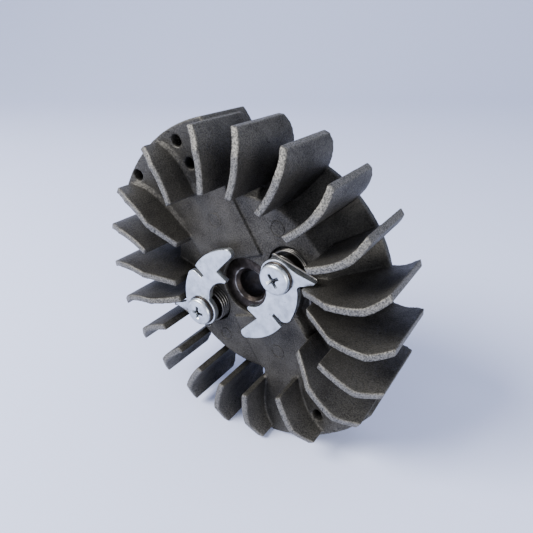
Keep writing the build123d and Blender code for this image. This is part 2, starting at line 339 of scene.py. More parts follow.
@dataclass(frozen=True)
class ZincPlate(Finish):
    """Bright zinc plate on stamped or turned steel.

    The plate is cool and nearly white, with cloudy patches, pin-point specks where it has worn
    through and fine handling scratches.
    """

    name: str = "zinc_plate_bright"
    slot: str = "zinc_plate"
    relief: float = 0.35
    plate: str = "#cdd2d7"
    clouded: str = "#969a9e"
    speck: str = "#4d4c4a"
    # painted shade, with some dirt, in the screws' cross recess
    shaded_recess: str = "#24221f"
    cloud: float = 3.5
    speck_size: float = 0.8
    scratch: float = 0.25    # width of a handling scratch, drawn wider than real to show

    def paint(self, tree: NodeTree, place: NodeSocket) -> Paint:
        """Adds the cloudy plate, specks, scratches and the painted shade, with some dirt, in a recess."""
        lie = add(tree, "ShaderNodeMapping", {"Vector": place, "Rotation": (0.0, 0.7, 0.0),
                                              "Scale": (1.0, 1.0, 0.06)})
        cloud, specks, scratch = add_each(
            tree, "ShaderNodeTexNoise", NOISE, (place, per_metre(self.cloud), 5.0, 0.65),
            (place, per_metre(self.speck_size), 1.0), (lie, per_metre(self.scratch), 2.0))
        shade_and_dirt = add(tree, "ShaderNodeAttribute", attribute_name="shade_and_dirt").outputs["Fac"]
        cloudy, worn, rough = add_each(
            tree, "ShaderNodeMapRange", RANGE, (cloud, 0.4, 0.7, 0.0, 0.8),
            (specks, 0.72, 0.77, 0.0, 0.85), (scratch, 0.3, 0.7, 0.26, 0.44))
        height = add(tree, "ShaderNodeMath", {"Value": cloud, "Value_001": 3.0, "Value_002": scratch},
                     operation="MULTIPLY_ADD")
        return Paint(self.plate, ((cloudy, self.clouded), (worn, self.speck), (shade_and_dirt, self.shaded_recess)),
                     rough, height)


@dataclass(frozen=True)
class TurnedSteel(Finish):
    """Turned steel gone brown-black under oil, with the lathe's feed lines round the axis."""

    name: str = "turned_steel_oxide"
    slot: str = "dark_steel"
    oxide: str = "#2e2926"
    rubbed: str = "#59524c"
    edge: str = "#8b8783"
    edge_radius: float = 0.0    # a rubbed edge this far from the wheel's axis, in millimetres
    edge_width: float = 0.16
    feed: float = 0.45       # feed of the lathe tool, drawn coarser than real to show
    blotch: float = 2.6

    def paint(self, tree: NodeTree, place: NodeSocket) -> Paint:
        """Adds the oxide's blotches, the feed lines and the rubbed edge."""
        lines = add(tree, "ShaderNodeTexWave", {"Vector": place, "Scale": per_metre(self.feed) / 20,
                                                "Distortion": 0.6, "Detail": 1.0},
                    wave_type="RINGS", rings_direction="Y")
        blotch, = add_each(tree, "ShaderNodeTexNoise", NOISE, (place, per_metre(self.blotch), 4.0, 0.62))
        rubbing, patchy, rough = add_each(
            tree, "ShaderNodeMapRange", RANGE, (blotch, 0.42, 0.72, 0.0, 0.6),
            (blotch, 0.42, 0.6), (blotch, 0.3, 0.7, 0.5, 0.34))
        across = add(tree, "ShaderNodeVectorMath", {"Vector": place, "Vector_001": (1.0, 0.0, 1.0)},
                     operation="MULTIPLY")
        radius = add(tree, "ShaderNodeVectorMath", {"Vector": across.outputs["Vector"]},
                     operation="LENGTH").outputs["Value"]
        on_edge = add(tree, "ShaderNodeMath", {"Value": radius, "Value_001": self.edge_radius * MM,
                                               "Value_002": self.edge_width * MM}, operation="COMPARE")
        rubbed = add(tree, "ShaderNodeMath", {"Value": on_edge, "Value_001": patchy},
                     operation="MULTIPLY")
        height = add(tree, "ShaderNodeMath", {"Value": blotch, "Value_001": 0.8, "Value_002": lines},
                     operation="MULTIPLY_ADD")
        return Paint(self.oxide, ((rubbing, self.rubbed), (rubbed, self.edge)), rough, height)


@dataclass(frozen=True)
class SpringWire(Finish):
    """Oil-tempered drawn spring wire: dark grey, with a soft shine and faint draw marks."""

    name: str = "spring_wire_drawn"
    slot: str = "spring_wire"
    relief: float = 0.3
    relief_depth: float = 0.02
    wire: str = "#5f5c58"
    scale_dark: str = "#3b3a38"
    mark: float = 0.5

    def paint(self, tree: NodeTree, place: NodeSocket) -> Paint:
        """Adds the tempering scale and the draw marks."""
        scale, = add_each(tree, "ShaderNodeTexNoise", NOISE, (place, per_metre(self.mark), 4.0))
        dark, rough = add_each(tree, "ShaderNodeMapRange", RANGE, (scale, 0.45, 0.7, 0.0, 0.7),
                               (scale, 0.0, 1.0, 0.24, 0.46))
        return Paint(self.wire, ((dark, self.scale_dark),), rough, scale)


@dataclass(frozen=True)
class SheetSteel(Finish):
    """Blanked electrical sheet, ground at the pole faces: grey with grind lines round the wheel."""

    name: str = "electrical_sheet_ground"
    slot: str = "laminated_steel"
    relief_depth: float = 0.02
    ground: str = "#8a8782"
    rust: str = "#5a4638"
    line: float = 0.3        # grind lines, drawn coarser than real to show
    stain: float = 4.0

    def paint(self, tree: NodeTree, place: NodeSocket) -> Paint:
        """Adds the grind lines and light rust."""
        lie = add(tree, "ShaderNodeMapping", {"Vector": place, "Scale": (0.05, 1.0, 0.05)})
        lines, stain = add_each(tree, "ShaderNodeTexNoise", NOISE, (lie, per_metre(self.line)),
                                (place, per_metre(self.stain), 5.0, 0.65))
        rust, rough = add_each(tree, "ShaderNodeMapRange", RANGE, (stain, 0.5, 0.75, 0.0, 0.6),
                               (stain, 0.0, 1.0, 0.3, 0.55))
        return Paint(self.ground, ((rust, self.rust),), rough, lines)


@dataclass(frozen=True)
class SinteredMagnet(Finish):
    """Sintered magnet: charcoal grey, dull and finely grained."""

    name: str = "magnet_sintered"
    slot: str = "magnet"
    metallic: float = 0.5
    body: str = "#39393b"
    chip: str = "#5c5c5f"
    grain: float = 0.4

    def paint(self, tree: NodeTree, place: NodeSocket) -> Paint:
        """Adds the grain."""
        grain, = add_each(tree, "ShaderNodeTexNoise", NOISE, (place, per_metre(self.grain), 3.0))
        return Paint(self.body, ((grain, self.chip),), 0.6, grain)


@dataclass(frozen=True)
class StudioPaper(Finish):
    """Matt studio paper for the floor and the sweep behind it."""

    name: str = "studio_paper"
    slot: str = ""
    metallic: float = 0.0
    relief: float = 0.0
    paper: str = "#d3daf6"

    def paint(self, tree: NodeTree, place: NodeSocket) -> Paint:
        """Sets the paper's plain colour."""
        return Paint(self.paper, (), 0.9)


# ---------------------------------------------------------------- meshes

def object_from(name: str, mesh: Mesh) -> Object:
    """Links a mesh to the scene as an object at the origin.

    Args:
        name: The object's name.
        mesh: Its mesh, already in place.

    Returns:
        The object.
    """
    made = bpy.data.objects.new(name, mesh)
    bpy.context.scene.collection.objects.link(made)
    return made


def piece_from(name: str, work: bmesh.types.BMesh) -> Object:
    """Turns a finished bmesh to an object of the same name and frees it."""
    mesh = bpy.data.meshes.new(name)
    work.to_mesh(mesh)
    work.free()
    return object_from(name, mesh)


def settled(piece: Object) -> Object:
    """Applies a piece's modifiers to its mesh.

    Args:
        piece: The object with live modifiers.

    Returns:
        The same object with a plain mesh.
    """
    graph = bpy.context.evaluated_depsgraph_get()
    mesh = bpy.data.meshes.new_from_object(piece.evaluated_get(graph))
    mesh.name = piece.name
    piece.modifiers.clear()
    piece.data = mesh
    return piece


def frame_copy(node: str) -> bmesh.types.BMesh:
    """A copy of a node's mesh with its loose triangles merged and its flats dissolved.

    Args:
        node: The node's name.

    Returns:
        The bmesh.
    """
    work = bmesh.new()
    work.from_mesh(frame["nodes"][node].data)
    bmesh.ops.remove_doubles(work, verts=work.verts, dist=MERGE)
    bmesh.ops.dissolve_limit(work, angle_limit=math.radians(0.5), verts=work.verts, edges=work.edges)
    return work


def lathe(profile: list[tuple[float, float]], segments: int) -> bmesh.types.BMesh:
    """A closed solid of revolution about Y.

    Args:
        profile: (radius, level) points in millimetres, from the axis or round a tube and back.
        segments: How many steps round.

    Returns:
        The bmesh, with levels as Y in metres.
    """
    work = bmesh.new()
    rings = []
    for step in range(segments):
        angle = math.tau * step / segments
        rings.append([work.verts.new((r * math.cos(angle) * MM, y_of(level), r * math.sin(angle) * MM))
                      for r, level in profile])
    count = len(profile)
    for step in range(segments):
        here, there = rings[step], rings[(step + 1) % segments]
        for i in range(count):
            j = (i + 1) % count
            work.faces.new((here[i], here[j], there[j], there[i]))
    bmesh.ops.remove_doubles(work, verts=work.verts, dist=MERGE)
    bmesh.ops.dissolve_degenerate(work, edges=work.edges, dist=0.0002 * MM)
    bmesh.ops.recalc_face_normals(work, faces=work.faces)
    return work


def shade_smooth(mesh: Mesh) -> None:
    """Shades every face smooth."""
    mesh.polygons.foreach_set("use_smooth", np.ones(len(mesh.polygons), dtype=bool))


def smooth_by_angle(mesh: Mesh) -> None:
    """Shades a mesh smooth except over its sharp edges."""
    shade_smooth(mesh)
    mesh.set_sharp_from_angle(angle=math.radians(SMOOTH_DEGREES))


def break_edges(piece: Object, width: float, segments: int, degrees: float) -> None:
    """Bevels a piece's sharp edges.

    Args:
        piece: The piece.
        width: The bevel's width in millimetres.
        segments: How many faces it has across.
        degrees: The angle that makes an edge sharp.
    """
    bevel = piece.modifiers.new("edges", "BEVEL")
    bevel.width, bevel.segments = width * MM, segments
    bevel.limit_method, bevel.angle_limit = "ANGLE", math.radians(degrees)
    settled(piece)


def dress(piece: Object, finish: Finish) -> Object:
    """Gives a piece its finish.

    Args:
        piece: The piece, with its final mesh.
        finish: The finish.

    Returns:
        The same piece.
    """
    piece.data.materials.clear()
    piece.data.materials.append(finish.material())
    return piece


def report(piece: Object) -> None:
    """Logs a finished piece with its triangle count."""
    piece.data.calc_loop_triangles()
    log.info("%s: %d triangles", piece.name, len(piece.data.loop_triangles))


# ---------------------------------------------------------------- geometry trees

@dataclass
class Tree:
    """A geometry tree with named inputs, applied to an object as a plain mesh."""

    name: str
    inputs: dict[str, tuple[str, object]]
    wire: Callable[[NodeTree, Node], NodeSocket]

    def build(self) -> NodeTree:
        """Makes the tree once: the wiring's geometry is realized and given its material.

        Returns:
            The node tree.
        """
        known = bpy.data.node_groups.get(self.name)
        if known:
            return known
        tree = bpy.data.node_groups.new(self.name, "GeometryNodeTree")
        tree.interface.new_socket("Geometry", in_out="INPUT", socket_type="NodeSocketGeometry")
        for name, (kind, value) in self.inputs.items():
            socket = tree.interface.new_socket(name, in_out="INPUT", socket_type=kind)
            socket.default_value = value
        tree.interface.new_socket("Material", in_out="INPUT", socket_type="NodeSocketMaterial")
        tree.interface.new_socket("Geometry", in_out="OUTPUT", socket_type="NodeSocketGeometry")
        start = add(tree, "NodeGroupInput")
        shape = self.wire(tree, start)
        real = add(tree, "GeometryNodeRealizeInstances", {"Geometry": shape})
        painted = add(tree, "GeometryNodeSetMaterial", {"Geometry": real,
                                                        "Material": start.outputs["Material"]})
        add(tree, "NodeGroupOutput", {"Geometry": painted})
        return tree

    def apply(self, piece: Object, finish: Finish, **values) -> Object:
        """Runs the tree on an object and keeps the result as its mesh.

        Args:
            piece: The object whose mesh goes in.
            finish: The finish that the tree sets.
            **values: Values for the named inputs, with underscores for spaces.

        Returns:
            The same object with its new mesh.
        """
        modifier = piece.modifiers.new(self.name, "NODES")
        modifier.node_group = self.build()
        for item in modifier.node_group.interface.items_tree:
            if item.in_out != "INPUT" or item.name == "Geometry":
                continue
            key = item.name.replace(" ", "_").lower()
            modifier[item.identifier] = finish.material() if key == "material" else values[key]
        settled(piece)
        return piece


def wire_pair(tree: NodeTree, start: Node) -> NodeSocket:
    """Wires copies of the shape at both ends of a line, each turned about the wheel's axis."""
    line = add(tree, "GeometryNodeMeshLine", {"Count": 2, "Start Location": start.outputs["First"],
                                              "Offset": start.outputs["Last"]}, mode="END_POINTS")
    index = add(tree, "GeometryNodeInputIndex")
    turn = add(tree, "ShaderNodeMath", {"Value": index, "Value_001": start.outputs["Turn Step"],
                                        "Value_002": start.outputs["Turn"]}, operation="MULTIPLY_ADD")
    rotation = add(tree, "ShaderNodeCombineXYZ", {"Y": turn})
    placed = add(tree, "GeometryNodeInstanceOnPoints", {
        "Points": line, "Instance": start.outputs["Geometry"], "Rotation": rotation})
    return placed.outputs["Instances"]


def wire_stack(tree: NodeTree, start: Node) -> NodeSocket:
    """Wires copies of a sheet one behind the other, each a hair out of line."""
    offset = add(tree, "ShaderNodeCombineXYZ", {"Y": start.outputs["Pitch"]})
    line = add(tree, "GeometryNodeMeshLine", {"Count": start.outputs["Sheets"], "Offset": offset},
               mode="OFFSET")
    stray = add(tree, "FunctionNodeRandomValue", {"Min_001": 1.0, "Max_001": start.outputs["Largest"],
                                                  "Seed": 7}, data_type="FLOAT")
    scale = add(tree, "ShaderNodeCombineXYZ", {"X": stray.outputs[1], "Y": 1.0, "Z": stray.outputs[1]})
    placed = add(tree, "GeometryNodeInstanceOnPoints", {
        "Points": line, "Instance": start.outputs["Geometry"], "Scale": scale})
    return placed.outputs["Instances"]


def wire_tube(tree: NodeTree, start: Node) -> NodeSocket:
    """Wires a round wire along the edges that come in."""
    path = add(tree, "GeometryNodeMeshToCurve", {"Mesh": start.outputs["Geometry"]})
    even = add(tree, "GeometryNodeResampleCurve", {"Curve": path, "Length": start.outputs["Step"]},
               mode="LENGTH")
    round_wire = add(tree, "GeometryNodeCurvePrimitiveCircle", {"Resolution": 12,
                                                                "Radius": start.outputs["Radius"]})
    tube = add(tree, "GeometryNodeCurveToMesh", {"Curve": even, "Profile Curve": round_wire,
                                                 "Fill Caps": True})
    smooth = add(tree, "GeometryNodeSetShadeSmooth", {"Geometry": tube, "Shade Smooth": True})
    return smooth.outputs["Geometry"]


def wire_rings(tree: NodeTree, start: Node) -> NodeSocket:
    """Wires a small raised ring, flat on the wheel's front, at each point that comes in."""
    ring = add(tree, "GeometryNodeCurvePrimitiveCircle", {"Resolution": 40,
                                                          "Radius": start.outputs["Radius"]})
    wire = add(tree, "GeometryNodeCurvePrimitiveCircle", {"Resolution": 8,
                                                          "Radius": start.outputs["Height"]})
    tube = add(tree, "GeometryNodeCurveToMesh", {"Curve": ring, "Profile Curve": wire})
    smooth = add(tree, "GeometryNodeSetShadeSmooth", {"Geometry": tube, "Shade Smooth": True})
    placed = add(tree, "GeometryNodeInstanceOnPoints", {
        "Points": start.outputs["Geometry"], "Instance": smooth, "Rotation": (math.pi / 2, 0.0, 0.0)})
    return placed.outputs["Instances"]


FLOAT, VECTOR, WHOLE = "NodeSocketFloat", "NodeSocketVector", "NodeSocketInt"
PAIR = Tree("pair_at_pivots", {"First": (VECTOR, (0, 0, 0)), "Last": (VECTOR, (0, 0, 0)),
                               "Turn": (FLOAT, 0.0), "Turn Step": (FLOAT, math.pi)}, wire_pair)
STACK = Tree("sheet_stack", {"Sheets": (WHOLE, 10), "Pitch": (FLOAT, 0.0007),
                             "Largest": (FLOAT, 1.0)}, wire_stack)
TUBE = Tree("wire_on_path", {"Radius": (FLOAT, 0.0004), "Step": (FLOAT, 0.0003)}, wire_tube)
RINGS = Tree("cast_rings", {"Radius": (FLOAT, 0.0025), "Height": (FLOAT, 0.0002)}, wire_rings)


# ---------------------------------------------------------------- the casting

@dataclass
class Casting:
    """The die casting: the frame's shape with cast radii, an uneven skin and trimmed edges.

    A mark fades in from a span's start to its end. A slope is the part of a vertex's normal that
    points the mark's way, and a share is how strong the mark gets.
    """

    voxel: float = 0.36
    first_rounding: int = 2
    face_rounding: int = 36
    sharp_degrees: float = 14.0
    edge_rings: int = 2              # rings of vertices beside an edge that keep its radius
    shoulder: Span = (29.5, 34.5)    # the hub's rim, cast with a soft radius
    shoulder_levels: Span = (11.0, 18.0)
    skin_wave: float = 2.2           # size of the skin's unevenness
    skin_depth: float = 0.10
    most_triangles: int = 188_000
    blade_radii: Span = (25.5, 26.1)         # the blades stand outside this radius
    blade_levels: Span = (23.0, 23.8)        # and their front edges above this level
    front_slope: Span = (0.55, 0.85)
    tip_radii: Span = (TIP_RADIUS - 0.7, TIP_RADIUS - 0.3)
    tip_slope: Span = (0.6, 0.9)
    tip_share: float = 0.75
    chamfer_slope: Span = (1.0, 1.25)        # outwards and to the front together
    chamfer_levels: Span = (26.5, 27.5)
    chamfer_share: float = 0.9
    corner_bend: Span = (0.05, 0.30)
    corner_share: float = 0.45               # and as much again on what stands up below the blades
    raised_radii: Span = (36.0, TIP_RADIUS)
    raised_levels: Span = (15.0, 23.2)
    worn_radii: Span = (38.0, 55.0)          # the blades' faces lighten towards the tips
    worn_levels: Span = (14.0, 27.0)
    worn_share: float = 0.34
    # painted shade in the concave creases
    crease_bend: Span = (0.04, 0.16)
    crease_share: float = 0.75
    # Foot of the step beside each ramp, in the wheel's own plane, where a painted shadow lies in a line
    step_line: tuple[Span, Span] = ((9.4, 11.4), (4.0, 30.6))
    step_line_width: float = 0.45
    step_line_levels: Span = (16.5, 19.0)
    step_line_share: float = 0.9
    low_radii: Span = (35.0, 41.0)           # painted shade, with some oil and dust, on what is below the blades
    low_slope: Span = (0.3, 0.8)
    low_level: float = 22.6
    low_share: float = 0.42
    shade_reach: float = 16.0         # how far a corner's neighbours shade it
    shade_rays: int = 14
    shade_lift: float = 0.15          # how far off the skin a ray starts
    shade_rounds: int = 3
    shade_start: float = 0.14         # how much shade is left unpainted
    shade_range: float = 0.48
    shade_most: float = 0.86
    finish: Finish = field(default_factory=CastAluminium)

    def build(self) -> Object:
        """Makes the casting and puts it on the wheel.

        Returns:
            The piece.
        """
        piece = piece_from("casting", frame_copy("flywheel_casting"))
        self.round_edges(piece)
        self.even_faces(piece)
        self.roughen(piece)
        self.thin_out(piece)
        self.mark_bared(piece.data)
        self.mark_shade_and_dirt(piece.data)
        shade_smooth(piece.data)
        dress(piece, self.finish)
        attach(piece, "wheel")
        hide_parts("flywheel_casting")
        return piece

    def round_edges(self, piece: Object) -> None:
        """Remeshes the shape evenly and rounds every edge and corner to a cast radius."""
        remesh = piece.modifiers.new("skin", "REMESH")
        remesh.mode = "VOXEL"
        remesh.voxel_size = self.voxel * MM
        smooth = piece.modifiers.new("radii", "SMOOTH")
        smooth.factor, smooth.iterations = 0.5, self.first_rounding
        settled(piece)

    def even_faces(self, piece: Object) -> None:
        """Evens out the curved faces between the edges, which keep their radii."""
        mesh = piece.data
        edges, normals = edge_array(mesh), vertex_array(mesh.vertices, "normal")
        cosine = np.einsum("ij,ij->i", normals[edges[:, 0]], normals[edges[:, 1]])
        sharp = cosine < math.cos(math.radians(self.sharp_degrees))
        level, radius = level_and_radius(vertex_array(mesh.vertices, "co") / MM)
        shoulder = within(radius, self.shoulder) & within(level, self.shoulder_levels)
        sharp &= ~shoulder[edges[:, 0]]
        near_edge = np.zeros(len(mesh.vertices))
        np.maximum.at(near_edge, edges[sharp].ravel(), 1.0)
        for _ in range(self.edge_rings):
            grown = near_edge.copy()
            np.maximum.at(grown, edges[:, 0], near_edge[edges[:, 1]])
            np.maximum.at(grown, edges[:, 1], near_edge[edges[:, 0]])
            near_edge = grown
        group = piece.vertex_groups.new(name="faces")
        group.add(np.flatnonzero(near_edge < 0.5).tolist(), 1.0, "REPLACE")
        smooth = piece.modifiers.new("faces", "SMOOTH")
        smooth.factor, smooth.iterations, smooth.vertex_group = 0.5, self.face_rounding, group.name
        settled(piece)
        piece.vertex_groups.clear()

    def roughen(self, piece: Object) -> None:
        """Gives the skin the slight unevenness of a die casting."""
        waves = bpy.data.textures.new("cast_skin", "CLOUDS")
        waves.noise_scale, waves.noise_depth = self.skin_wave * MM, 2
        uneven = piece.modifiers.new("skin", "DISPLACE")
        uneven.texture, uneven.texture_coords = waves, "LOCAL"
        uneven.strength, uneven.mid_level = self.skin_depth * MM, 0.5
        settled(piece)

    def thin_out(self, piece: Object) -> None:
        """Takes triangles out of the flatter faces."""
        piece.data.calc_loop_triangles()
        thin = piece.modifiers.new("thin", "DECIMATE")
        thin.ratio = min(1.0, self.most_triangles / len(piece.data.loop_triangles))
        settled(piece)

    def mark_bared(self, mesh: Mesh) -> None:
        """Marks the blades' trimmed front edges, their tips and every worn corner, and paints shade into the
        creases and a shadow at the foot of each step.
        """
        place, normals = vertex_array(mesh.vertices, "co") / MM, vertex_array(mesh.vertices, "normal")
        level, radius = level_and_radius(place)
        forward = -normals[:, 1]
        outward = (place[:, 0] * normals[:, 0] + place[:, 2] * normals[:, 2]) / np.maximum(radius, 1)
        on_blade = step_up(radius, self.blade_radii) * step_up(level, self.blade_levels)
        tip = step_up(radius, self.tip_radii) * step_up(outward, self.tip_slope)
        chamfer = step_up(outward + forward, self.chamfer_slope) * step_up(level, self.chamfer_levels)
        edges = edge_array(mesh)
        bend = bend_of(place, normals, edges)
        raised = within(radius, self.raised_radii) & within(level, self.raised_levels)
        worn = step_up(radius, self.worn_radii) * step_up(level, self.worn_levels)
        bared = np.clip(np.maximum.reduce([
            step_up(forward, self.front_slope) * on_blade, self.tip_share * tip,
            self.chamfer_share * chamfer * on_blade,
            self.corner_share * (1 + raised) * step_up(bend, self.corner_bend),
            self.worn_share * worn]), 0, 1)
        store(mesh, "bared", averaged(bared, edges, 1))
        # painted shade in concave creases, and a painted shadow line at the foot of each step
        crease = self.crease_share * averaged(step_up(-bend, self.crease_bend), edges, 1)
        store(mesh, "crease", np.maximum(crease, self.step_shadow(place)))

    def step_shadow(self, place: np.ndarray) -> np.ndarray:
        """How much painted shadow each vertex gets from the lines at the foot of the two steps."""
        cos, sin = math.cos(STANDING_TURN), math.sin(STANDING_TURN)
        flat_x, flat_y = place[:, 0] * cos + place[:, 2] * sin, place[:, 2] * cos - place[:, 0] * sin
        start, end = (np.array(point) for point in self.step_line)
        run = end - start
        line_shadow = np.zeros(len(place))
        fade = (0.5 * self.step_line_width, self.step_line_width)
        for side in (1, -1):
            way = np.stack([side * flat_x, side * flat_y], axis=1) - start
            share = np.clip(way @ run / (run @ run), 0, 1)
            off = np.linalg.norm(way - share[:, None] * run, axis=1)
            line_shadow = np.maximum(line_shadow, 1 - step_up(off, fade))
        return self.step_line_share * line_shadow * within(level_and_radius(place)[0], self.step_line_levels)

    def mark_shade_and_dirt(self, mesh: Mesh) -> None:
        """Paints shade, with some soot and dust, into the corners that rays to their neighbours find most closed
        in, and onto what is below the blades.
        """
        tree = BVHTree.FromPolygons([v.co for v in mesh.vertices],
                                    [p.vertices for p in mesh.polygons])
        rays = sphere_points(self.shade_rays)
        place, normals = vertex_array(mesh.vertices, "co"), vertex_array(mesh.vertices, "normal")
        reach = self.shade_reach * MM
        shade_and_dirt = np.zeros(len(place))
        for i, (point, normal) in enumerate(zip(place, normals)):
            origin = Vector(point + normal * self.shade_lift * MM)
            shade = 0.0
            for ray in rays:
                hit = tree.ray_cast(origin, Vector(normal + ray), reach)
                if hit[0] is not None:
                    shade += 1 - hit[3] / reach
            shade_and_dirt[i] = shade / len(rays)
        evened = averaged(shade_and_dirt, edge_array(mesh), self.shade_rounds)
        # painted shade from the rays' hits, and more painted shade with dust on the faces below the blades
        shaded = np.clip((evened - self.shade_start) / self.shade_range, 0, self.shade_most)
        level, radius = level_and_radius(place / MM)
        low = step_up(radius, self.low_radii) * step_up(-normals[:, 1], self.low_slope) * (
            level < self.low_level)
        store(mesh, "shade_and_dirt", np.maximum(shaded, self.low_share * low))


def level_and_radius(place: np.ndarray) -> tuple[np.ndarray, np.ndarray]:
    """Each point's level above the rim's rear face and its radius, all in millimetres."""
    return REAR_FACE - place[:, 1], np.hypot(place[:, 0], place[:, 2])


def within(values: np.ndarray, span: Span) -> np.ndarray:
    """Which values lie inside a span."""
    return (values > span[0]) & (values < span[1])


def vertex_array(items: bpy.types.bpy_prop_collection, name: str) -> np.ndarray:
    """A vector property of every vertex as rows of three."""
    values = np.zeros(len(items) * 3)
    items.foreach_get(name, values)
    return values.reshape(-1, 3)


def edge_array(mesh: Mesh) -> np.ndarray:
    """Every edge's two vertex numbers."""
    values = np.zeros(len(mesh.edges) * 2, dtype=np.int32)
    mesh.edges.foreach_get("vertices", values)
    return values.reshape(-1, 2)


def step_up(values: np.ndarray, span: Span) -> np.ndarray:
    """Rises smoothly from 0 at a span's start to 1 at its end."""
    share = np.clip((values - span[0]) / (span[1] - span[0]), 0, 1)
    return share * share * (3 - 2 * share)


def averaged(values: np.ndarray, edges: np.ndarray, rounds: int) -> np.ndarray:
    """Evens a value out over each vertex's neighbours.

    Args:
        values: One value for each vertex.
        edges: Vertex pairs.
        rounds: How many times to average.

    Returns:
        The evened values.
    """
    count = np.bincount(edges.ravel(), minlength=len(values)) + 1.0
    for _ in range(rounds):
        total = values + np.bincount(edges[:, 0], values[edges[:, 1]], len(values)) + np.bincount(
            edges[:, 1], values[edges[:, 0]], len(values))
        values = total / count
    return values


def bend_of(place: np.ndarray, normals: np.ndarray, edges: np.ndarray) -> np.ndarray:
    """How convex the surface is at each vertex: the mean slope down to its neighbours."""
    run = place[edges[:, 1]] - place[edges[:, 0]]
    length = np.maximum(np.linalg.norm(run, axis=1), 1e-9)
    drop_a = -np.einsum("ij,ij->i", run, normals[edges[:, 0]]) / length
    drop_b = np.einsum("ij,ij->i", run, normals[edges[:, 1]]) / length
    size = len(place)
    total = np.bincount(edges[:, 0], drop_a, size) + np.bincount(edges[:, 1], drop_b, size)
    return total / np.maximum(np.bincount(edges.ravel(), minlength=size), 1)


def sphere_points(count: int) -> np.ndarray:
    """Points spread evenly over a unit sphere."""
    i = np.arange(count) + 0.5
    height, turn = 1 - 2 * i / count, math.pi * (1 + math.sqrt(5)) * i
    flat = np.sqrt(1 - height ** 2)
    return np.stack([flat * np.cos(turn), flat * np.sin(turn), height], axis=1) * 0.98


def store(mesh: Mesh, name: str, values: np.ndarray) -> None:
    """Keeps one value for each vertex as a named attribute."""
    attribute = mesh.attributes.new(name, "FLOAT", "POINT")
    attribute.data.foreach_set("value", values.astype(np.float32))


@dataclass
class CastMarks:
    """Plain witness rings that the die's ejector pins leave on the hub's front."""

    places: tuple[tuple[float, float, float], ...] = (
        (17.6, 19.6, 17.5), (-16.8, -19.7, 17.5), (-6.0, 24.0, 18.3), (6.0, -24.0, 18.3))
    radius: float = 2.4
    height: float = 0.22
    finish: Finish = field(default_factory=CastAluminium)

    def build(self) -> Object:
        """Makes the rings on the hub.

        Returns:
            The piece.
        """
        mesh = bpy.data.meshes.new("ejector_rings")
        mesh.from_pydata([in_part(*place) for place in self.places], [], [])
        piece = object_from("ejector_rings", mesh)
        RINGS.apply(piece, self.finish, radius=self.radius * MM, height=self.height * MM)
        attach(piece, "wheel")
        return piece


# ---------------------------------------------------------------- steel pieces

@dataclass
class FrameSteel:
    """A steel piece with the frame's own shape, its edges broken."""

    name: str
    node: str
    body: str
    finish: Finish
    edge: float = 0.15
    segments: int = 2

    def build(self) -> Object:
        """Makes the piece and puts it on its body.

        Returns:
            The piece.
        """
        piece = piece_from(self.name, frame_copy(self.node))
        break_edges(piece, self.edge, self.segments, degrees=38)
        smooth_by_angle(piece.data)
        dress(piece, self.finish)
        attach(piece, self.body)
        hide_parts(self.node)
        return piece


@dataclass
class PoleShoe:
    """A pole shoe: a stack of blanked steel sheets whose ends show at the wheel's outside."""

    name: str
    node: str
    sheets: int = 20                 # real sheets are 0.5 mm; these are thicker so that they show
    gap: float = 0.07
    largest: float = 1.0015          # how far a sheet may stand proud, as a share of its radius
    finish: Finish = field(default_factory=SheetSteel)

    def build(self) -> Object:
        """Makes the stack in the frame's place.

        Returns:
            The piece.
        """
        low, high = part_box(self.node)
        pitch = (high.y - low.y) / self.sheets
        work = frame_copy(self.node)
        shrink = (pitch - self.gap * MM) / (high.y - low.y)
        for vertex in work.verts:
            vertex.co.y = low.y + (vertex.co.y - low.y) * shrink
        piece = piece_from(self.name, work)
        STACK.apply(piece, self.finish, sheets=self.sheets, pitch=pitch, largest=self.largest)
        smooth_by_angle(piece.data)
        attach(piece, "wheel")
        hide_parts(self.node)
        return piece


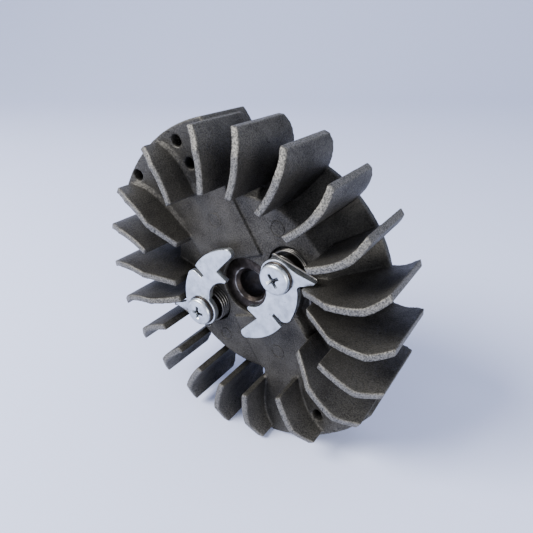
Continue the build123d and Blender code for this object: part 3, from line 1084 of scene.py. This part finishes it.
@dataclass
class PivotStack:
    """Both pan-head pivot screws and the washers under their heads."""

    seat: float = 24.8
    head_radius: float = 5.06
    head_height: float = 1.9
    shank_radius: float = 2.5
    shank_end: float = 6.0
    shank_tip: float = 0.4
    # Shares of the head's radius, with the drop from its top and the height over its seat
    dome: tuple[Span, ...] = ((0.0, 0.0), (0.5, 0.03), (0.8, 0.12), (0.9, 0.28), (0.96, 0.55), (1.0, 0.95))
    underside: tuple[Span, ...] = ((1.0, 0.25), (0.98, 0.05), (0.94, 0.0))
    screw_edge: float = 0.08
    # Half the length and width of the cross's two wings and the radius of its core, by depth
    wings: tuple[tuple[float, float, float], ...] = ((0.0, 2.75, 0.62), (1.75, 1.35, 0.42))
    core: tuple[Span, ...] = ((0.0, 1.25), (2.0, 0.35))
    cut_above: float = 0.3           # how far the cutter stands out of the head
    cross_shade_depths: Span = (0.15, 0.9)  # how deep in the cross the painted shade and dirt start and are full
    cross_shade_reach: float = 0.6
    cross_shade_share: float = 0.9
    washer_radii: Span = (2.55, 5.4)
    washer_level: float = 24.3
    washer_edge: float = 0.12
    recess_turn: float = 18.0        # where pawl b's cross stopped when it was tightened, in degrees
    recess_step: float = 35.0        # and how much further pawl a's did
    screw_finish: Finish = field(default_factory=ZincPlate)
    washer_finish: Finish = field(default_factory=TurnedSteel)

    def cross(self) -> Object:
        """A driver's cross: two tapered wings and a pointed core, to be cut from the head.

        Returns:
            The cutter.
        """
        top = self.seat + self.head_height + self.cut_above
        work = bmesh.new()
        for quarter in range(2):
            turn = Matrix.Rotation(quarter * math.pi / 2, 4, "Y")
            corners = []
            for depth, long, wide in self.wings:
                for x, z in ((-long, -wide), (long, -wide), (long, wide), (-long, wide)):
                    corners.append(work.verts.new(turn @ Vector((x * MM, y_of(top - depth), z * MM))))
            bmesh.ops.convex_hull(work, input=corners)
        core = []
        for depth, size in self.core:
            for step in range(8):
                angle = math.tau * step / 8
                core.append(work.verts.new((size * math.cos(angle) * MM, y_of(top - depth),
                                            size * math.sin(angle) * MM)))
        bmesh.ops.convex_hull(work, input=core)
        bmesh.ops.recalc_face_normals(work, faces=work.faces)
        return piece_from("cross", work)

    def head_profile(self) -> list[tuple[float, float]]:
        """The screw's outline from the middle of its low dome to the end of its shank."""
        top, rim, shank = self.seat + self.head_height, self.head_radius, self.shank_radius
        return [*((rim * share, top - drop) for share, drop in self.dome),
                *((rim * share, self.seat + height) for share, height in self.underside),
                (shank, self.seat), (shank, self.shank_end + self.shank_tip),
                (shank - self.shank_tip, self.shank_end), (0.0, self.shank_end)]

    def mark_shade_and_dirt(self, mesh: Mesh) -> None:
        """Paints shade, with some oil and dirt, into the cross recess."""
        level, radius = level_and_radius(vertex_array(mesh.vertices, "co") / MM)
        depth = self.seat + self.head_height - level
        cross_shade = step_up(depth, self.cross_shade_depths) * (radius < self.cross_shade_reach * self.head_radius)
        store(mesh, "shade_and_dirt", self.cross_shade_share * cross_shade)

    def build(self) -> list[Object]:
        """Makes both screws and both washers.

        Returns:
            The two pieces.
        """
        screw = piece_from("pivot_screws", lathe(self.head_profile(), segments=72))
        cutter = self.cross()
        cut = screw.modifiers.new("cross", "BOOLEAN")
        cut.object, cut.operation, cut.solver, cut.use_self = cutter, "DIFFERENCE", "EXACT", True
        settled(screw)
        bpy.data.objects.remove(cutter)
        break_edges(screw, self.screw_edge, segments=2, degrees=40)
        self.mark_shade_and_dirt(screw.data)
        inner, outer = self.washer_radii
        low, high, edge = self.washer_level, self.seat, self.washer_edge
        outline = [(inner, low + edge), (inner + edge, low), (outer - edge, low), (outer, low + edge),
                   (outer, high - edge), (outer - edge, high), (inner + edge, high), (inner, high - edge)]
        washer = piece_from("pivot_washers", lathe(outline, segments=64))
        pieces = []
        for piece, finish, nodes in ((screw, self.screw_finish, "pivot_screw_"),
                                     (washer, self.washer_finish, "pawl_washer_")):
            PAIR.apply(piece, finish, first=flat(Side.B.centre), last=flat(Side.A.centre),
                       turn=-Side.B.turn - math.radians(self.recess_turn), turn_step=math.radians(self.recess_step))
            smooth_by_angle(piece.data)
            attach(piece, "wheel")
            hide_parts(nodes + "a", nodes + "b")
            pieces.append(piece)
        return pieces


def flat(point: Vector) -> tuple[float, float, float]:
    """A point's place across the wheel, with no level of its own."""
    return (point.x, 0.0, point.z)


@dataclass
class PawlSpring:
    """A torsion spring: lower leg, tight coil, rising turn, hairpin and a leg along the pawl's tail."""

    side: Side
    wire: float = 0.8
    radius: float = 6.2
    top_radius: float = 6.5          # the last turn stands clear of the pawl's boss
    bottom: float = 16.0
    pitch: float = 1.12
    tight_turns: float = 3.45
    rising_turns: float = 0.8
    top: float = 22.35
    start: float = -10.0
    lower_leg: float = 12.0
    steps_a_turn: int = 48
    # From the hairpin to the hooked end, in the pivot's own plane
    upper_leg: tuple[tuple[float, float, float], ...] = (
        (-0.1, 6.62, 22.45), (-0.5, 6.85, 22.7), (-0.15, 7.15, 22.9), (0.6, 7.05, 22.95),
        (12.4, -0.45, 22.95), (13.3, -1.05, 23.1), (13.8, -1.4, 23.8))
    finish: Finish = field(default_factory=SpringWire)

    def path(self) -> list[tuple[float, float, float]]:
        """The wire's centre line in the pivot's own plane.

        Returns:
            (x, y, level) points in millimetres.
        """
        first = math.radians(self.start)
        begin = Vector((self.radius * math.cos(first), self.radius * math.sin(first), self.bottom))
        way = Vector((-math.sin(first), math.cos(first), 0.0))
        points = [tuple(begin - way * self.lower_leg)]
        tight_end = self.bottom + self.pitch * self.tight_turns
        for step in range(round((self.tight_turns + self.rising_turns) * self.steps_a_turn) + 1):
            turns = step / self.steps_a_turn
            ease = float(step_up(turns, (self.tight_turns, self.tight_turns + self.rising_turns)))
            radius = self.radius + ease * (self.top_radius - self.radius)
            level = self.bottom + self.pitch * min(turns, self.tight_turns) + ease * (self.top - tight_end)
            angle = first + math.tau * turns
            points.append((radius * math.cos(angle), radius * math.sin(angle), level))
        return points + list(self.upper_leg)

    def build(self) -> Object:
        """Makes the spring between the wheel and its pawl.

        Returns:
            The piece.
        """
        name = "pawl_spring_wire_" + self.side.value
        points = self.path()
        mesh = bpy.data.meshes.new(name)
        mesh.from_pydata([in_part(*p, turn=self.side.turn, centre=self.side.centre) for p in points],
                         [(i, i + 1) for i in range(len(points) - 1)], [])
        piece = object_from(name, mesh)
        TUBE.apply(piece, self.finish, radius=self.wire / 2 * MM, step=0.3 * MM)
        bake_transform(piece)
        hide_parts("pawl_spring_" + self.side.value)
        return piece


# ---------------------------------------------------------------- studio

@dataclass
class Studio:
    """Pale paper sweep, soft lights and the camera."""

    camera_place: tuple[float, float, float] = (0.08189, -0.11685, 0.07948)
    camera_turn: tuple[float, float, float] = (1.0876, 0.0032, 0.5929)
    lens: float = 31.745
    paper_reach: float = 2.6
    sweep_start: float = 0.75
    sweep_radius: float = 0.9
    sweep_steps: int = 24
    wall_height: float = 2.2
    world: str = "#c4cad9"
    world_strength: float = 1.5
    # Name, place and size in metres, and power in watts
    lamps: tuple[tuple[str, tuple[float, float, float], float, float], ...] = (
        ("key", (-0.42, -0.56, 0.64), 0.5, 19.0), ("fill", (1.05, -0.55, 0.12), 0.6, 13.0))

    def build(self) -> None:
        """Sets up the floor, the lights and the camera."""
        self.paper()
        self.lights()
        camera = bpy.data.cameras.new("camera")
        camera.lens, camera.sensor_width = self.lens, 36.0
        camera.clip_start, camera.clip_end = 0.005, 20.0
        holder = bpy.data.objects.new("camera", camera)
        holder.location, holder.rotation_euler = self.camera_place, Euler(self.camera_turn)
        bpy.context.scene.collection.objects.link(holder)
        bpy.context.scene.camera = holder

    def paper(self) -> None:
        """Rolls the paper out under the wheel and up behind it, square to the camera."""
        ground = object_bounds()[0].z
        outline = [(-self.paper_reach, 0.0), (self.sweep_start, 0.0)]
        for step in range(1, self.sweep_steps + 1):
            angle = math.pi / 2 * step / self.sweep_steps
            outline.append((self.sweep_start + self.sweep_radius * math.sin(angle),
                            self.sweep_radius * (1 - math.cos(angle))))
        outline.append((self.sweep_start + self.sweep_radius, self.wall_height))
        turn = Matrix.Rotation(self.camera_turn[2], 3, "Z")
        points, faces = [], []
        for along, height in outline:
            for across in (-self.paper_reach, self.paper_reach):
                points.append(turn @ Vector((across, along, height)) + Vector((0, 0, ground)))
        for i in range(len(outline) - 1):
            faces.append((2 * i, 2 * i + 1, 2 * i + 3, 2 * i + 2))
        mesh = bpy.data.meshes.new("paper")
        mesh.from_pydata(points, [], faces)
        shade_smooth(mesh)
        mesh.materials.append(StudioPaper().material())
        object_from("paper", mesh)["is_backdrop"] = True

    def lights(self) -> None:
        """Hangs one large soft key, a low fill and the room's even light."""
        world = bpy.data.worlds.new("room")
        world.use_nodes = True
        ground = world.node_tree.nodes["Background"]
        ground.inputs["Color"].default_value = linear(self.world)
        ground.inputs["Strength"].default_value = self.world_strength
        bpy.context.scene.world = world
        for name, place, size, power in self.lamps:
            lamp = bpy.data.lights.new(name, "AREA")
            lamp.shape, lamp.size, lamp.energy = "DISK", size, power
            holder = bpy.data.objects.new(name, lamp)
            holder.location = place
            holder.rotation_euler = (-Vector(place)).to_track_quat("-Z", "Y").to_euler()
            bpy.context.scene.collection.objects.link(holder)


# ---------------------------------------------------------------- the wheel

def corners(bounds: tuple[Vector, Vector]) -> list[list[float]]:
    """A box's two corners as plain numbers."""
    return [list(corner) for corner in bounds]


def main() -> None:
    """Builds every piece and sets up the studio."""
    logging.basicConfig(level=logging.INFO, format="%(message)s", stream=sys.stdout)
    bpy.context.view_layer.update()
    for piece in (Casting().build(), CastMarks().build(), *PivotStack().build(),
                  FrameSteel("crankshaft_seat", "crank_bush", "wheel", TurnedSteel(
                      name="turned_steel_seat", edge_radius=6.3), 0.2).build(),
                  PoleShoe("shoe_stack_leading", "pole_shoe_leading").build(),
                  PoleShoe("shoe_stack_trailing", "pole_shoe_trailing").build()):
        report(piece)
    springs = {Side.A: PawlSpring(Side.A), Side.B: PawlSpring(Side.B, pitch=0.84, tight_turns=2.45)}
    for side, spring in springs.items():
        name = side.value
        report(FrameSteel("pawl_plate_" + name, "starter_pawl_" + name, side.body, ZincPlate(),
                          0.28, 3).build())
        report(FrameSteel("pivot_bush_" + name, "pivot_sleeve_" + name, "wheel", TurnedSteel()).build())
        report(spring.build())
    for node, finish in (("ignition_magnet", SinteredMagnet()), ("balance_weight", SheetSteel())):
        dress(frame["nodes"][node], finish)
    Studio().build()


if __name__ == "__main__":
    main()
